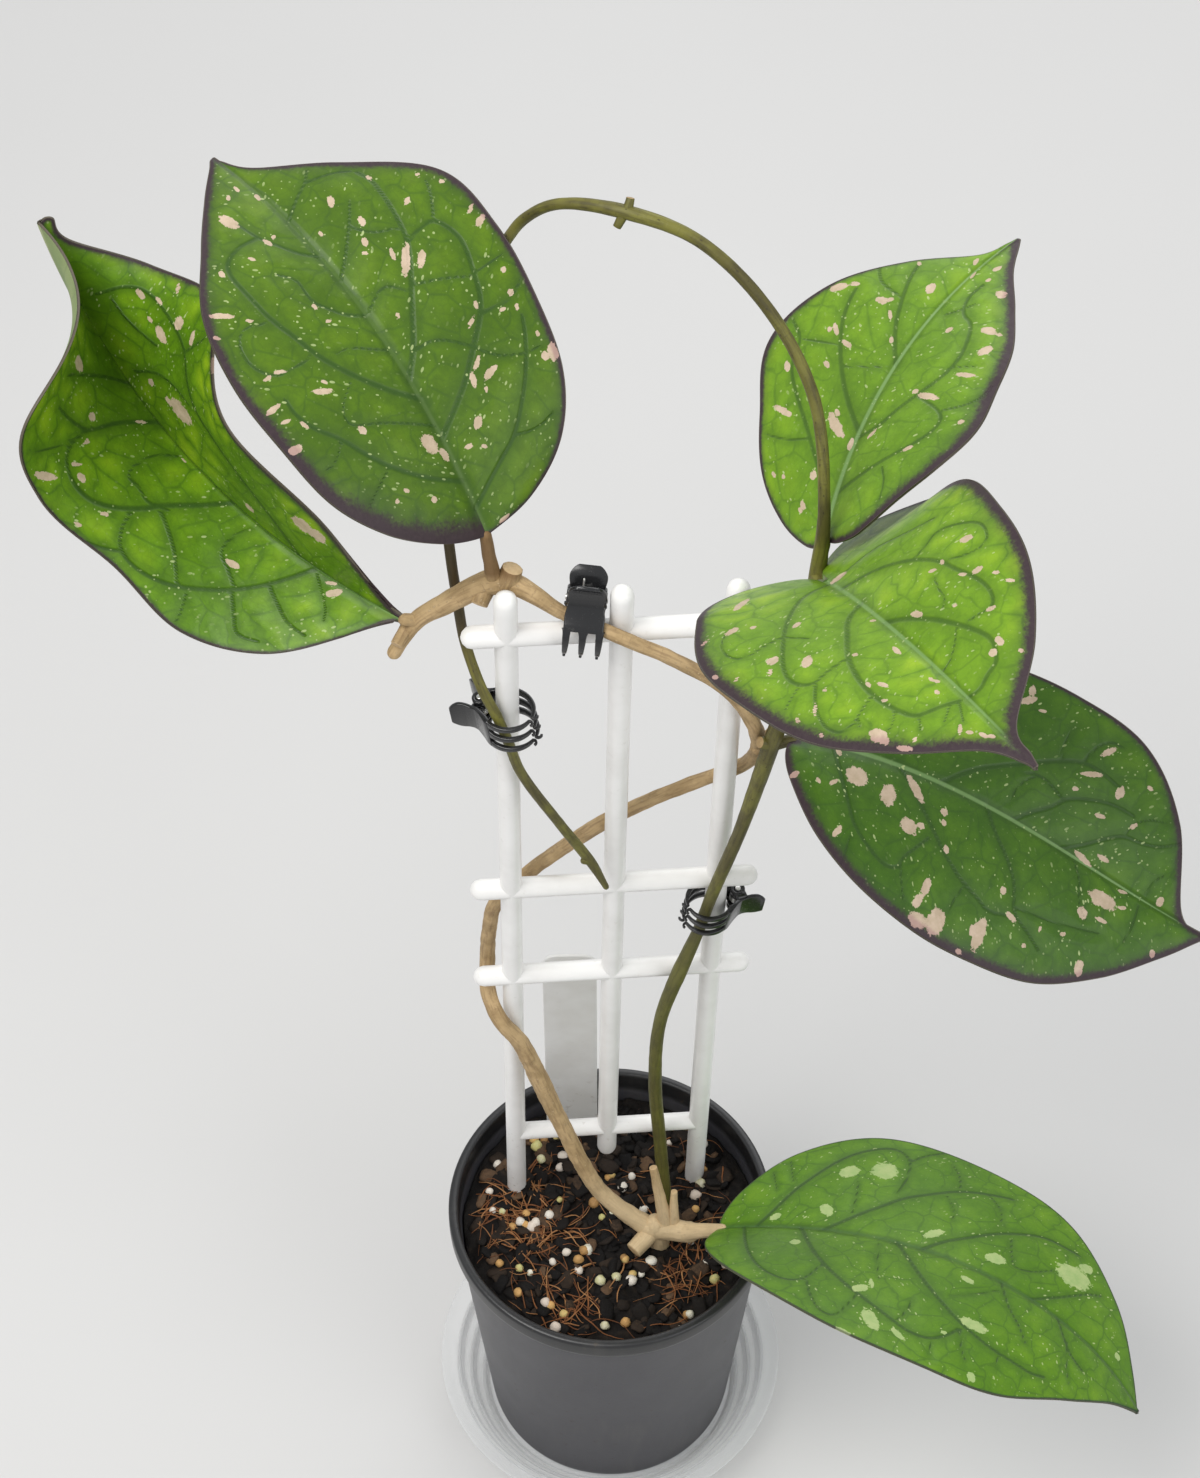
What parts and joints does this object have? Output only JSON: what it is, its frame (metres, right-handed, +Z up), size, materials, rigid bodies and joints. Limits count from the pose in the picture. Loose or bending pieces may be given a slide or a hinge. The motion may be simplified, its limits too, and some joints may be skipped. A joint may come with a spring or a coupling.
{
  "type": "potted hoya on a trellis",
  "caption": "Young hoya with large flecked leaves and twining stems on a white ladder trellis, held by claw clips, in a dark nursery pot on a clear saucer.",
  "frame": {"origin": "centre of the saucer's underside, on the surface that it stands on", "axes": "+Z up, -Y is the front that faces the viewer, +X is the viewer's right"},
  "size_m": [0.2649, 0.1632, 0.4351],
  "materials": {
    "clear_plastic": "clear glossy plastic",
    "pot_plastic": "charcoal satin",
    "potting_mix": "loose bark and pale beads",
    "white_plastic": "white satin gloss",
    "label_plastic": "white matte",
    "old_stem": "straw-coloured bark",
    "green_stem": "olive brown skin",
    "leaf": "semi-gloss leaf with dark edge",
    "clip_plastic": "black gloss",
    "clip_steel": "bright wire"
  },
  "bodies": {
    "plant": {"saucer": "clear_plastic", "pot": "pot_plastic", "potting_mix": "potting_mix", "trellis": "white_plastic", "plant_label": "label_plastic", "stem_old": "old_stem", "stem_green": "green_stem", "leaf_top_left": "leaf", "leaf_far_left": "leaf", "leaf_top_right": "leaf", "leaf_front_right": "leaf", "leaf_low_right": "leaf", "leaf_base_right": "leaf", "clip_top_fixed_jaw": "clip_plastic", "clip_top_pin": "clip_steel", "clip_top_spring": "clip_steel", "clip_left_fixed_jaw": "clip_plastic", "clip_left_pin": "clip_steel", "clip_left_spring": "clip_steel", "clip_right_fixed_jaw": "clip_plastic", "clip_right_pin": "clip_steel", "clip_right_spring": "clip_steel"},
    "clip_top_jaw": {"clip_top_moving_jaw": "clip_plastic"},
    "clip_left_jaw": {"clip_left_moving_jaw": "clip_plastic"},
    "clip_right_jaw": {"clip_right_moving_jaw": "clip_plastic"}
  },
  "joints": [
    {"name": "clip_top_hinge", "type": "hinge", "parent": "plant", "child": "clip_top_jaw", "pos_m": [-0.00506, -0.00398, 0.35711], "axis": [-0.9939, 0.0713, 0.0842], "range_deg": [0, 25], "stiffness_Nm_per_rad": 0.008, "springref_deg": -28.65},
    {"name": "clip_left_hinge", "type": "hinge", "parent": "plant", "child": "clip_left_jaw", "pos_m": [-0.02885, -0.00274, 0.31828], "axis": [0.1105, 0.05, -0.9926], "range_deg": [0, 25], "stiffness_Nm_per_rad": 0.008, "springref_deg": -28.65},
    {"name": "clip_right_hinge", "type": "hinge", "parent": "plant", "child": "clip_right_jaw", "pos_m": [0.03107, 0.00664, 0.2331], "axis": [-0.1064, 0.1309, -0.9857], "range_deg": [0, 25], "stiffness_Nm_per_rad": 0.008, "springref_deg": -28.65}
  ]
}
